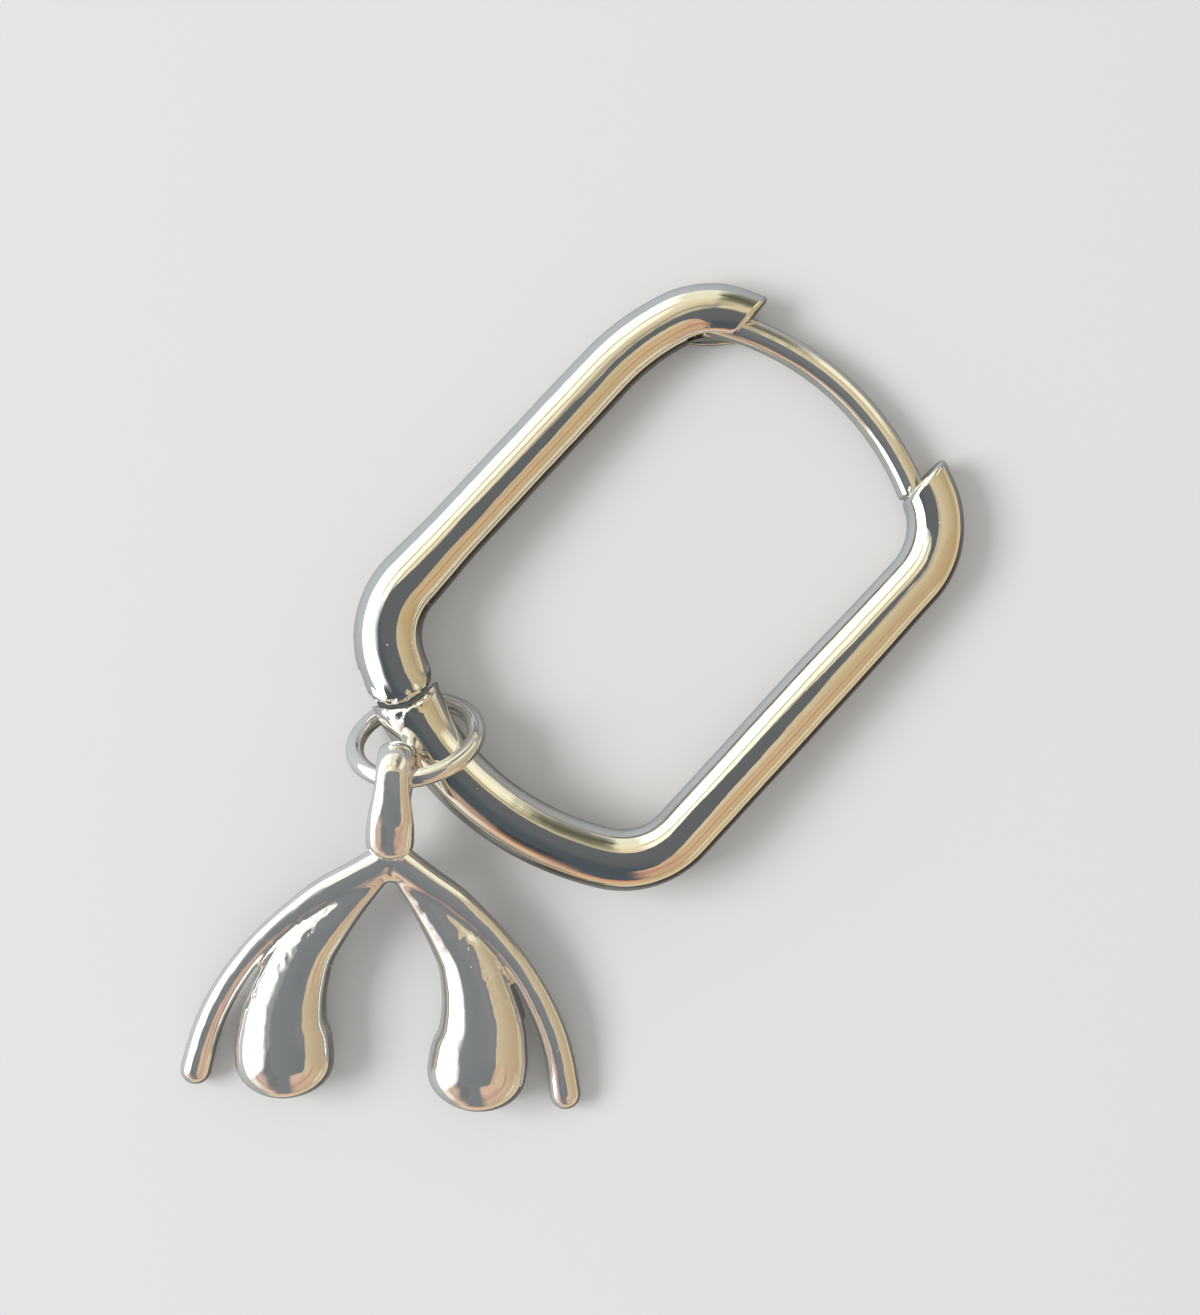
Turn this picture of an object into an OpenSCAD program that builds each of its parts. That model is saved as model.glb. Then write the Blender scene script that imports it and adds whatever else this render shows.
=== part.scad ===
// Hoop charm earring lying on a flat surface: a hinged, rounded rectangular hoop with a curved ear post,
// a jump ring round the hoop's wire and a cast charm on the jump ring.
// X runs across the hoop, Y along it with the ear post at +Y, Z is up and the surface is at z = 0.

/* [Hoop] */
// Outside width of the hoop across its two long sides
hoop_width = 17.2; // [15:0.2:20]
// Outside length of the hoop, from its bowed side to the top of the ear post
hoop_length = 23.5; // [21:0.1:28]
// Diameter of the hoop's wire
wire_d = 2.4; // [2.2:0.02:2.6]
// Diameter of the wire at the two tips
tip_d = 2.1; // [1.9:0.02:2.2]
// Length over which a long side narrows towards its tip
taper_length = 4; // [2:0.1:5]
// Radius of the bowed short side, to the middle of the wire
bow_radius = 11.5; // [10:0.1:16]
// Radius of the two corners beside the bowed side, to the middle of the wire
corner_radius = 3.2; // [2.4:0.1:3.6]
// Radius of the upper arm's slow lean towards its tip
lean_radius = 10; // [8:0.5:12]
// Turn of the upper arm's slow lean, in degrees
lean_turn = 20; // [14:1:24]
// Radius of the bend at the upper arm's tip
upper_tip_radius = 3.4; // [2.6:0.1:3.6]
// Radius of the bend at the lower arm's tip
lower_tip_radius = 3.3; // [3.2:0.1:4.2]
// Turn of each arm from its long side to its tip, in degrees
tip_turn = 67; // [60:1:72]
// Length of the straight end past the bend of a tip
tip_straight = 0.4; // [0.3:0.05:0.8]

/* [Hinge] */
// Diameter of the wire where it swells at the hinge
hinge_d = 2.72; // [2.6:0.02:2.9]
// Length over which the long side swells towards the hinge
swell_length = 3.8; // [2:0.1:5]
// Length over which the lower arm narrows away from the hinge
neck_length = 1.3; // [1:0.1:2]
// Distance from the end of the hinge corner to the hinge pin, along the wire
pin_shift = 0.3; // [0.2:0.05:0.8]
// Radius of the fork's round end about the hinge pin
ear_radius = 1.54; // [1.46:0.01:1.6]
// Radius of the tongue's round end about the hinge pin
tongue_radius = 1.05; // [0.9:0.05:1.1]
// Thickness of the tongue
tongue_thick = 0.7; // [0.6:0.05:0.8]
// Clear width of the seam between the two arms
seam_gap = 0.2; // [0.14:0.01:0.3]
// Clearance of the tongue in the fork
fork_gap = 0.06; // [0.04:0.01:0.1]
// Diameter of the hinge pin
pin_d = 0.8; // [0.7:0.05:0.9]
// Clearance of the hinge pin in its bore
pin_gap = 0.03; // [0.02:0.01:0.05]
// Metal left over the blind top of the pin's bore
pin_cover = 0.28; // [0.2:0.02:0.4]
// How far the hinge opens, in degrees
hinge_open = 50; // [40:1:60]

/* [Ear post] */
// Diameter of the ear post
post_d = 1.15; // [0.9:0.05:1.25]
// Radius of the ear post's curve, to the middle of the post
post_radius = 11.2; // [10:0.1:14]
// How far the middle of the upper arm's tip lies outside the post's middle
upper_inset = 0.6; // [0.5:0.02:0.7]
// How far the middle of the lower arm's tip lies outside the post's middle
lower_inset = 0.74; // [0.6:0.02:0.8]
// Length of the post inside the lower arm
socket_depth = 0.7; // [0.5:0.1:1.8]
// Length of the post inside the upper arm
latch_depth = 1.1; // [0.8:0.1:1.4]
// Clearance of the post in the lower arm's socket
socket_gap = 0.02; // [0.01:0.01:0.04]
// Clearance of the post in the upper arm's slot
latch_gap = 0.1; // [0.06:0.02:0.14]
// How far the slot's lower lip stands out towards the middle of the hoop
lip_reach = 0.25; // [0.2:0.05:0.5]
// Thickness of the slot's lower lip
lip_thick = 0.26; // [0.22:0.02:0.3]
// Arc of the slot's lower lip, in degrees
lip_turn = 44; // [30:1:46]

/* [Jump ring] */
// Diameter of the jump ring, to the middle of its wire
ring_d = 4.9; // [4.86:0.02:5.2]
// Diameter of the jump ring's wire
ring_wire_d = 0.72; // [0.68:0.02:0.8]
// Slope of the jump ring from the surface, in degrees
ring_slope = 54; // [53:1:57]
// Direction of the jump ring's level diameter, in degrees from the X axis
ring_heading = 53.4; // [52:0.2:58]
// Distance of the jump ring's middle from the hinge pin, along the wire
ring_along = 2.95; // [2.75:0.05:3.15]
// How far the jump ring's middle lies outside the middle of the wire
ring_offset = 0.45; // [0.35:0.05:0.55]
// Clearance between a piece and what it rests on
rest_gap = 0.05; // [0.03:0.01:0.1]

/* [Charm] */
// Width of the charm across its two legs
charm_width = 16; // [14:0.2:18]
// Length of the charm from its crotch to the ends of its legs
charm_drop = 9.1; // [8:0.1:10]
// Diameter of a leg
leg_d = 1.12; // [1:0.02:1.2]
// Greatest width of a bulb
bulb_width = 3.96; // [3.6:0.02:4.2]
// Greatest thickness of a bulb
bulb_thick = 2.76; // [2.4:0.02:3]
// How far the ends of the legs are bent down
leg_dip = 0.5; // [0.3:0.05:0.6]
// Length of the eye loop above the crotch
loop_length = 5.1; // [4.8:0.05:5.6]
// Width of the eye loop's metal
loop_width = 1.4; // [1.2:0.02:1.6]
// Thickness of the eye loop's metal
loop_thick = 0.9; // [0.8:0.02:1]
// Clear height of the eye
eye_d = 1.3; // [1.2:0.01:1.4]
// Clearance between the jump ring's wire and the side of the eye that hangs on it
eye_gap = 0.12; // [0.1:0.01:0.18]
// Width of the thick end of the eye loop's front bar
bar_width = 1.92; // [1.7:0.02:2.1]
// Place of the charm along the jump ring from its highest point, in degrees
charm_round = -23; // [-26:1:-18]
// Direction in which the charm's eye loop points, in degrees from the X axis
charm_heading = 128.9; // [126:0.1:132]

/* [Hidden] */
$fn = 64;
// Sides of the charm's sections, which are blended
charm_sides = 20;
// Every other stretch of wire runs a little way into its neighbours, and is thinner by a hair to fit inside
lap = 0.05;
hair = 0.012;

// Radii that follow from the sizes above
wire_r = wire_d / 2;
tip_r = tip_d / 2;
hinge_r = hinge_d / 2;
post_r = post_d / 2;
pin_r = pin_d / 2;
ring_wire_r = ring_wire_d / 2;
ring_r = ring_d / 2;

// Middle lines of the long sides, the bowed side, its corners and the post
side_x = hoop_width / 2 - wire_r;
bow_y = bow_radius - (hoop_length / 2 - wire_r);
corner_x = side_x - corner_radius;
corner_turn = acos(corner_x / (bow_radius - corner_radius));
corner_y = bow_y - (bow_radius - corner_radius) * sin(corner_turn);
post_y = hoop_length / 2 - post_r - post_radius;

// A length along an arc, as an angle in degrees
function as_angle(length, radius) = length / radius * 180 / PI;
// A point of the bowed side, at an angle from the hoop's axis
function on_bow(angle, out = 0) = [(bow_radius + out) * sin(angle), bow_y - (bow_radius + out) * cos(angle)];

pin_angle = as_angle(pin_shift, bow_radius) - (90 - corner_turn);
pin_at = on_bow(pin_angle);
shoulder_radius = ear_radius + seam_gap;

// The bends of each arm from its long side to its tip: radius and turn, in degrees
RADIUS = 0;
TURN = 1;
upper_bends = [[lean_radius, lean_turn], [upper_tip_radius, tip_turn - lean_turn]];
lower_bends = [[lower_tip_radius, tip_turn]];
tip_heading = 90 + tip_turn;
tip_run = tip_straight * [cos(tip_heading), sin(tip_heading)];

// A line that starts upwards and turns left: its heading before a bend, the bend's middle and its start
function bend_heading(bends, i) = i == 0 ? 90 : bend_heading(bends, i - 1) + bends[i - 1][TURN];
function bend_middle(bends, i) = bend_start(bends, i)
    + bends[i][RADIUS] * [-sin(bend_heading(bends, i)), cos(bend_heading(bends, i))];
function bend_start(bends, i) = i == 0 ? [side_x, 0] : bend_middle(bends, i - 1)
    + bends[i - 1][RADIUS] * [sin(bend_heading(bends, i)), -cos(bend_heading(bends, i))];
function bends_end(bends) = bend_start(bends, len(bends));

// Where a tip is cut, and how high its bends start so that the tip meets the post
function face_x(bends) = bends_end(bends)[0] + tip_run[0];
function tip_y(bends, inset) = post_y + sqrt(pow(post_radius, 2) - pow(face_x(bends), 2)) + inset;
function bends_y(bends, inset) = tip_y(bends, inset) - tip_run[1] - bends_end(bends)[1];
upper_up = bends_y(upper_bends, upper_inset);
lower_up = bends_y(lower_bends, lower_inset);

// Angles of the post's arc where it enters the tips and where it ends in them
socket_face = acos(face_x(lower_bends) / post_radius);
latch_face = 180 - acos(face_x(upper_bends) / post_radius);
post_from = socket_face - as_angle(socket_depth, post_radius);
post_to = latch_face + as_angle(latch_depth, post_radius);

// The hoop lies on its tips and, beside the hinge, on the jump ring's wire
ring_angle = pin_angle + as_angle(ring_along, bow_radius);
propped_y = on_bow((pin_angle + ring_angle) / 2)[1];
far_y = max(tip_y(upper_bends, upper_inset), tip_y(lower_bends, lower_inset));
tilt = asin((ring_wire_d + rest_gap + hinge_r - tip_r) / (far_y - propped_y));
lift = far_y * sin(tilt) + tip_r * cos(tilt);

// Turns of a point about the X and the Z axis
function about_x(p, angle) = [p[0], p[1] * cos(angle) - p[2] * sin(angle), p[1] * sin(angle) + p[2] * cos(angle)];
function about_z(p, angle) = [p[0] * cos(angle) - p[1] * sin(angle), p[0] * sin(angle) + p[1] * cos(angle), p[2]];

// The jump ring's middle, and a point of its middle line counted from the highest one
ring_plan = on_bow(ring_angle, ring_offset);
ring_at = [ring_plan[0], ring_plan[1] * cos(tilt), ring_wire_r + ring_r * sin(ring_slope)];
function on_ring(angle) = ring_at
    + about_z(about_x(ring_r * [sin(angle), -cos(angle), 0], -ring_slope), ring_heading);

// The eye loop in the charm's side view, and the place of the jump ring's wire in it
loop_r = (eye_d + loop_thick) / 2;
loop_up = loop_length - loop_thick / 2 - loop_r;
eye_play = (eye_d - ring_wire_d) / 2 - eye_gap;
hook_side = 60;
hook_at = [0, loop_up + eye_play * cos(hook_side), loop_r + eye_play * sin(hook_side)];

// Sections of a leg and a bulb: places are shares of the charm's half width and its drop,
// sizes are shares of the leg's diameter and dip, or of the bulb's width and thickness
ACROSS = 0;
DOWN = 1;
SIZE = 2;
DIP = 3;
leg_sections = [
    // across, down, size, dip
    [0.04, -0.03, 1.15, 0],
    [0.18, 0.046, 1.08, 0],
    [0.33, 0.123, 1, 0],
    [0.47, 0.22, 0.88, 0],
    [0.60, 0.33, 0.83, 0.06],
    [0.695, 0.434, 0.84, 0.17],
    [0.778, 0.55, 0.9, 0.34],
    [0.848, 0.676, 0.96, 0.56],
    [0.894, 0.797, 1, 0.78],
    [0.933, 0.95, 1.06, 1],
];
bulb_sections = [
    // across, down, size
    [0.11, 0.077, 0.26],
    [0.22, 0.18, 0.37],
    [0.325, 0.29, 0.49],
    [0.406, 0.39, 0.61],
    [0.4625, 0.527, 0.725],
    [0.494, 0.67, 0.87],
    [0.4875, 0.80, 1],
];
// Sections of the eye loop's back and of its front bar: places are shares of the loop's rise and of the eye's
// radius, sizes are shares of the loop's or the bar's width and of the loop's thickness
RISE = 0;
OUT = 1;
WIDE = 2;
DEEP = 3;
back_sections = [
    // rise, out, wide, deep
    [-0.08, 0, 0.7, 1.1],
    [0.25, 0, 0.92, 1.05],
    [0.6, 0, 0.86, 1],
];
bar_sections = [
    // rise, out, wide, deep
    [0.78, 1.99, 0.8, 1.06],
    [0.56, 1.86, 0.94, 1.2],
    [0.4, 1.66, 1, 1.3],
    [0.2, 0.7, 0.66, 0.9],
];

// Each charm section as the middle and the three radii of a rounded lump
function leg_lump(s, side) = [
    [side * s[ACROSS] * charm_width / 2, -s[DOWN] * charm_drop, -s[DIP] * leg_dip],
    s[SIZE] * leg_d / 2 * [1, 1, 1]
];
function bulb_lump(s, side) = [
    [side * s[ACROSS] * charm_width / 2, -s[DOWN] * charm_drop, 0],
    s[SIZE] / 2 * [bulb_width, bulb_width, bulb_thick]
];
function loop_lump(s, width) = [
    [0, s[RISE] * loop_up, s[OUT] * loop_r],
    [s[WIDE] * width, s[DEEP] * loop_thick, s[DEEP] * loop_thick] / 2
];
knee_step = 30;
knee_lumps = [
    for (a = [-90 : knee_step : 90])
        [[0, loop_up + loop_r * cos(a), loop_r + loop_r * sin(a)], [loop_width, loop_thick, loop_thick] / 2]
];
loop_lumps = concat(
    [for (s = back_sections) loop_lump(s, loop_width)],
    knee_lumps,
    [for (s = bar_sections) loop_lump(s, bar_width)]
);

// The charm hangs on the jump ring's wire and slopes down until its bulbs touch the surface
widest = bulb_lump(bulb_sections[len(bulb_sections) - 1], 1);
bulb_reach = hook_at[1] - widest[0][1];
bulb_height = on_ring(charm_round)[2] - widest[1][2] - rest_gap / 2;
charm_slope = asin(bulb_height / norm([bulb_reach, hook_at[2]])) - atan2(hook_at[2], bulb_reach);
function on_charm(p) = on_ring(charm_round) + about_z(about_x(p - hook_at, charm_slope), charm_heading - 90);

// The middle of the whole earring in the plane of the surface
charm_lumps = [
    for (side = [-1, 1])
        each concat([for (s = leg_sections) leg_lump(s, side)], [for (s = bulb_sections) bulb_lump(s, side)])
];
low_x = min(-side_x - hinge_r, min([for (l = charm_lumps) on_charm(l[0])[0] - l[1][0]]));
high_x = max(side_x + wire_r, max([for (l = charm_lumps) on_charm(l[0])[0] + l[1][0]]));
low_y = min([for (l = charm_lumps) on_charm(l[0])[1] - l[1][0]]);
high_y = max(
    far_y * cos(tilt) + norm([tip_r / sin(tip_turn) * cos(tilt), tip_r * sin(tilt)]),
    (post_y + post_radius) * cos(tilt) + post_r
);
origin = [(low_x + high_x) / 2, (low_y + high_y) / 2, 0];

// Straight round wire in the hoop's plane, which can lap into its neighbours
module wire_line(from, to, r_from, r_to, laps = false) {
    run = to - from;
    more = laps ? lap : 0;
    less = laps ? hair : 0;
    translate([from[0], from[1], 0])
        rotate([0, 90, atan2(run[1], run[0])])
            translate([0, 0, -more])
                cylinder(h = norm(run) + 2 * more, r1 = r_from - less, r2 = r_to - less);
}

// Round bar along an arc of the hoop's plane
module bar_arc(middle, radius, from, turn, r) {
    translate([middle[0], middle[1], 0])
        rotate([0, 0, from])
            rotate_extrude(angle = turn)
                translate([radius, 0])
                    circle(r = r);
}

// Round wire along an arc, which can lap into its neighbours
module wire_arc(middle, radius, from, turn, r, laps = false) {
    more = laps ? as_angle(lap, radius) : 0;
    bar_arc(middle, radius, from - more, turn + 2 * more, laps ? r - hair : r);
}

// Turns a piece to the hinge pin, with +X towards the lower arm
module at_pin() {
    translate([pin_at[0], pin_at[1], 0])
        rotate([0, 0, pin_angle])
            children();
}

// One arm from its long side to its cut tip, on the side of +X; its straight end laps into its last bend
module shoulder(bends, bends_from, side_from) {
    up = [0, bends_from];
    past = tip_run * (1 + tip_d / tip_straight);
    last = len(bends) - 1;
    side_laps = (last % 2 == 1);
    taper_from = bends_from - taper_length;
    wire_line([side_x, side_from], [side_x, taper_from], wire_r, wire_r, laps = side_laps);
    wire_line([side_x, taper_from], [side_x, bends_from], wire_r, tip_r, laps = !side_laps);
    difference() {
        union() {
            for (i = [0 : last])
                wire_arc(bend_middle(bends, i) + up, bends[i][RADIUS], bend_heading(bends, i) - 90,
                    bends[i][TURN], tip_r, laps = ((last - i) % 2 == 1));
            wire_line(bends_end(bends) + up, bends_end(bends) + up + past, tip_r, tip_r, laps = true);
        }
        translate([face_x(bends) - hoop_width, 0, -hoop_width / 2])
            cube([hoop_width, hoop_length, hoop_width]);
    }
}

// Slot in the upper arm's tip, open at the face and towards the middle of the hoop
module latch_slot() {
    slot_end = post_radius * cos(post_to) - post_r - latch_gap;
    linear_extrude(post_d + 2 * latch_gap, center = true)
        intersection() {
            translate([0, post_y])
                circle(r = post_radius + post_r + latch_gap);
            translate([slot_end, 0])
                square([-slot_end, hoop_length]);
        }
}

// Lip under the slot, which stands out towards the middle of the hoop
module latch_lip() {
    last = len(upper_bends) - 1;
    middle = bend_middle(upper_bends, last) + [0, upper_up];
    edge = upper_bends[last][RADIUS] - tip_r - lip_reach + lip_thick / 2;
    translate([-middle[0], middle[1], -post_r - latch_gap - lip_thick / 2])
        rotate([0, 0, 180 - tip_turn]) {
            rotate_extrude(angle = lip_turn)
                translate([edge, -lip_thick / 2])
                    square([tip_r, lip_thick]);
            rotate_extrude(angle = lip_turn)
                translate([edge, 0])
                    circle(d = lip_thick);
        }
}

// The tongue in the hoop's plane, turned by an opening of the hinge and grown by a clearance
module tongue_outline(opening, grown) {
    circle(r = tongue_radius + grown);
    rotate(-opening)
        translate([0, -tongue_radius - grown])
            square([shoulder_radius + neck_length / 2, 2 * (tongue_radius + grown)]);
}

module pin_bore() {
    translate([0, 0, -hinge_d])
        cylinder(h = hinge_d + hinge_r - pin_cover, r = pin_r + pin_gap);
}

// The corner beside the bowed side, on the side of +X
module corner(r) {
    wire_arc([corner_x, corner_y], corner_radius, -corner_turn, corner_turn, r, laps = true);
}

// A stretch of the bowed side, between two angles from the hoop's axis
module bow(from, to, r) {
    wire_arc([0, bow_y], bow_radius, from - 90, to - from, r);
}

// What the upper arm keeps of its thick wire: all before the hinge pin, and a round end about it
module fork_outline() {
    circle(r = ear_radius);
    translate([-hoop_width, -hoop_width / 2])
        square(hoop_width);
}

module upper_arm_level() {
    swell_y = corner_y + swell_length;
    difference() {
        union() {
            mirror([1, 0, 0]) {
                corner(hinge_r);
                wire_line([side_x, corner_y], [side_x, swell_y], hinge_r, wire_r);
                shoulder(upper_bends, upper_up, swell_y);
            }
            latch_lip();
            intersection() {
                mirror([1, 0, 0])
                    bow(-pin_angle - as_angle(hinge_d, bow_radius), 90 - corner_turn, hinge_r);
                at_pin()
                    linear_extrude(2 * hinge_d, center = true)
                        fork_outline();
            }
        }
        latch_slot();
        at_pin() {
            linear_extrude(tongue_thick + 2 * fork_gap, center = true)
                union() {
                    tongue_outline(0, fork_gap);
                    tongue_outline(hinge_open, fork_gap);
                }
            pin_bore();
        }
    }
}

module lower_arm_level() {
    neck_from = pin_angle + as_angle(shoulder_radius, bow_radius);
    neck_to = neck_from + as_angle(neck_length, bow_radius);
    difference() {
        union() {
            difference() {
                bow(pin_angle, neck_from, hinge_r);
                at_pin()
                    cylinder(h = 2 * hinge_d, r = shoulder_radius, center = true);
            }
            at_pin()
                linear_extrude(tongue_thick, center = true)
                    tongue_outline(0, 0);
            wire_line(on_bow(neck_from), on_bow(neck_to), hinge_r, wire_r - hair, laps = true);
            bow(neck_to, 90 - corner_turn, wire_r);
            corner(wire_r);
            shoulder(lower_bends, lower_up, corner_y);
        }
        bar_arc([0, post_y], post_radius, post_from, 90 - post_from, post_r + socket_gap);
        at_pin()
            pin_bore();
    }
}

module ear_post_level() {
    seat = post_from + as_angle(rest_gap, post_radius);
    bar_arc([0, post_y], post_radius, seat, post_to - seat, post_r);
    translate([post_radius * cos(post_to), post_y + post_radius * sin(post_to), 0])
        sphere(r = post_r);
}

module hinge_pin_level() {
    foot = -sqrt(hinge_r * hinge_r - pin_r * pin_r);
    at_pin()
        translate([0, 0, foot])
            cylinder(h = hinge_r - pin_cover - pin_gap - foot, r = pin_r);
}

// Lays a piece of the hoop on the surface, propped up by the jump ring's wire beside the hinge
module laid() {
    translate([-origin[0], -origin[1], lift])
        rotate([-tilt, 0, 0])
            children();
}

module upper_arm() {
    color("silver")
        laid()
            upper_arm_level();
}

module lower_arm() {
    color("gainsboro")
        laid()
            lower_arm_level();
}

module ear_post() {
    color("lightgray")
        laid()
            ear_post_level();
}

module hinge_pin() {
    color("darkgray")
        laid()
            hinge_pin_level();
}

module jump_ring() {
    color("lightsteelblue")
        translate(ring_at - origin)
            rotate([0, 0, ring_heading])
                rotate([-ring_slope, 0, 0])
                    rotate_extrude()
                        translate([ring_r, 0])
                            circle(r = ring_wire_r);
}

module lump(l) {
    translate(l[0])
        scale(l[1])
            sphere(r = 1, $fn = charm_sides);
}

// One smooth limb through a row of lumps
module limb(lumps) {
    for (i = [1 : len(lumps) - 1])
        hull() {
            lump(lumps[i - 1]);
            lump(lumps[i]);
        }
}

module charm() {
    color("whitesmoke")
        translate(on_ring(charm_round) - origin)
            rotate([0, 0, charm_heading - 90])
                rotate([charm_slope, 0, 0])
                    translate(-hook_at) {
                        for (side = [-1, 1]) {
                            limb([for (s = leg_sections) leg_lump(s, side)]);
                            limb([for (s = bulb_sections) bulb_lump(s, side)]);
                        }
                        limb(loop_lumps);
                    }
}

upper_arm();
lower_arm();
ear_post();
hinge_pin();
jump_ring();
charm();
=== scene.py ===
import math

import bmesh
import bpy
from mathutils import Euler, Matrix, Vector, noise


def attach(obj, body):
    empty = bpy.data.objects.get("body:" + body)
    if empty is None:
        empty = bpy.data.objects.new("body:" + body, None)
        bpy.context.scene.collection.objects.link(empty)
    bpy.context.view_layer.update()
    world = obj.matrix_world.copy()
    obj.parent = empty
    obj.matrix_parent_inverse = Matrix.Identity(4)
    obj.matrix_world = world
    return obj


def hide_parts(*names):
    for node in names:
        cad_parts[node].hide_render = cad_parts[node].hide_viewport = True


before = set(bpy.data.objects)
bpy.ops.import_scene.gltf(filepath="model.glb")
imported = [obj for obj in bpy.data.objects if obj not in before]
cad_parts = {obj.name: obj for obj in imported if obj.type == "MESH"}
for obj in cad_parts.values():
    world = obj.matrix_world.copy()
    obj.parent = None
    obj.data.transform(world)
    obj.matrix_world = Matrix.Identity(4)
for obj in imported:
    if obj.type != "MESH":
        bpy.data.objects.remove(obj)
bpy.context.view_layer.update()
noise.seed_set(5)
print("the packed earring is loaded")


class Strand:  # a shader socket that Python's operators can work on
    def __init__(self, tree, socket=None):
        self.tree = tree
        self.socket = socket

    def node(self, kind, settings=None, inputs=None, output=0):
        made = self.tree.nodes.new(kind)
        for name, value in (settings or {}).items():
            if name == "stops":
                fillRamp(made.color_ramp, value)
            else:
                setattr(made, name, value)
        for name, value in (inputs or {}).items():
            if isinstance(value, Strand):
                self.tree.links.new(value.socket, made.inputs[name])
            else:
                made.inputs[name].default_value = value
        return Strand(self.tree, made.outputs[output])

    def maths(self, operation, *terms):
        return self.node("ShaderNodeMath", {"operation": operation}, dict(enumerate(terms)))

    def __add__(self, other):
        return self.maths("ADD", self, other)

    def __radd__(self, other):
        return self.maths("ADD", other, self)

    def __sub__(self, other):
        return self.maths("SUBTRACT", self, other)

    def __rsub__(self, other):
        return self.maths("SUBTRACT", other, self)

    def __mul__(self, other):
        return self.maths("MULTIPLY", self, other)

    def __rmul__(self, other):
        return self.maths("MULTIPLY", other, self)

    def __truediv__(self, other):
        return self.maths("DIVIDE", self, other)

    def step(self, low, high):  # 0 below low, 1 above high, smooth between
        return self.node("ShaderNodeMapRange", {"interpolation_type": "SMOOTHSTEP"},
                         {"Value": self, "From Min": low, "From Max": high})

    def ramp(self, stops):
        return self.node("ShaderNodeValToRGB", {"stops": stops}, {"Fac": self})

    def blend(self, first, second):  # this mask mixes two colours
        return self.node("ShaderNodeMix", {"data_type": "RGBA"}, {0: self, 6: first, 7: second}, 2)

    def parts(self):  # a vector's x, y and z
        apart = self.node("ShaderNodeSeparateXYZ", {}, {0: self}).socket.node
        return [Strand(self.tree, socket) for socket in apart.outputs]

    def finish(self, kind):  # joins a shader to its output node
        self.tree.links.new(self.socket, self.tree.nodes.new(kind).inputs["Surface"])


def emptyTree(owner):  # a material's or the world's nodes, cleared
    owner.use_nodes = True
    owner.node_tree.nodes.clear()
    return Strand(owner.node_tree)


def linked(name, data):  # a new object at the origin, in the scene
    made = bpy.data.objects.new(name, data)
    bpy.context.scene.collection.objects.link(made)
    return made


def fillRamp(ramp, stops):
    while len(ramp.elements) > 1:
        ramp.elements.remove(ramp.elements[-1])
    ramp.elements[0].position, ramp.elements[0].color = stops[0]
    for position, colour in stops[1:]:
        ramp.elements.new(position).color = colour


def shown(red, green, blue):  # a colour as the screen shows it, 0 to 255, made linear
    linear = [(c / 255 / 12.92) if c < 11 else ((c / 255 + 0.055) / 1.055) ** 2.4 for c in (red, green, blue)]
    return (*linear, 1)


# the wire's run, in millimetres in the hoop's own plane
hoop = {
    "tilt": 3.0126464, "lift": 1.6163509, "originX": 1.3425638, "originY": -7.4014631,
    "bowRadius": 11.5, "bowY": 0.95, "cornerRadius": 3.2, "cornerY": -6.20891, "cornerTurn": 59.60064,
    "pin": (-5.558571, -9.117388), "pinAngle": -28.904685, "sideX": 7.4,
    "around": 112, "step": 0.13, "ripple": 0.012, "rippleSize": 0.42, "rippleAround": 0.5,
    "crinkleSize": 4.2, "crinkleFade": 4.5, "clear": 0.004, "openTurn": -50,
}

levelToRow = (Matrix.Scale(0.001, 4)
              @ Matrix.Translation((-hoop["originX"], -hoop["originY"], hoop["lift"]))
              @ Matrix.Rotation(-math.radians(hoop["tilt"]), 4, "X"))


class Run:  # a line of straight and bent stretches, walked like a pen over paper
    def __init__(self, x, y, heading):
        self.stretches = []
        self.x, self.y, self.heading, self.length = x, y, heading, 0.0

    def go(self, length, turn=0.0):
        self.stretches.append((self.length, length, self.x, self.y, self.heading, turn))
        (self.x, self.y), self.heading = self.along(self.stretches[-1], length)
        self.length += length
        return self

    def bend(self, radius, turn):
        return self.go(radius * math.radians(abs(turn)), turn)

    def along(self, stretch, gone):
        _, length, x, y, heading, turn = stretch
        start = math.radians(heading)
        if not turn:
            return (x + gone * math.cos(start), y + gone * math.sin(start)), heading
        radius = length / math.radians(turn)
        end = start + gone / radius
        return ((x + radius * (math.sin(end) - math.sin(start)), y - radius * (math.cos(end) - math.cos(start))),
                math.degrees(end))

    def at(self, gone):
        stretch = [s for s in self.stretches if s[0] <= gone or s is self.stretches[0]][-1]
        return self.along(stretch, gone - stretch[0])


def between(table, value):  # smooth steps between the rows of a table
    if value <= table[0][0]:
        return table[0][1]
    for (low, first), (high, second) in zip(table, table[1:]):
        if value <= high:
            share = (value - low) / (high - low)
            share = share * share * (3 - 2 * share)
            return first + (second - first) * share
    return table[-1][1]


def rolledGrid(bm, around, stations, place):  # a grid rolled into a tube, its rows set out by place()
    made = bmesh.ops.create_grid(bm, x_segments=around, y_segments=len(stations) - 1, size=0.5)
    for vert in made["verts"]:
        turn = 2 * math.pi * (vert.co.x + 0.5)
        row = round((vert.co.y + 0.5) * (len(stations) - 1))
        vert.co = place(turn, stations[row])
    return made["verts"]


def finishMesh(bm, name, matrix, sharp=38):
    bmesh.ops.remove_doubles(bm, verts=bm.verts, dist=0.0008)
    bmesh.ops.recalc_face_normals(bm, faces=bm.faces)
    bmesh.ops.transform(bm, matrix=matrix, verts=bm.verts)
    for face in bm.faces:
        face.smooth = True
    for edge in bm.edges:
        if edge.is_manifold and edge.calc_face_angle() > math.radians(sharp):
            edge.smooth = False
    mesh = bpy.data.meshes.new(name)
    bm.to_mesh(mesh)
    bm.free()
    return linked(name, mesh)


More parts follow.
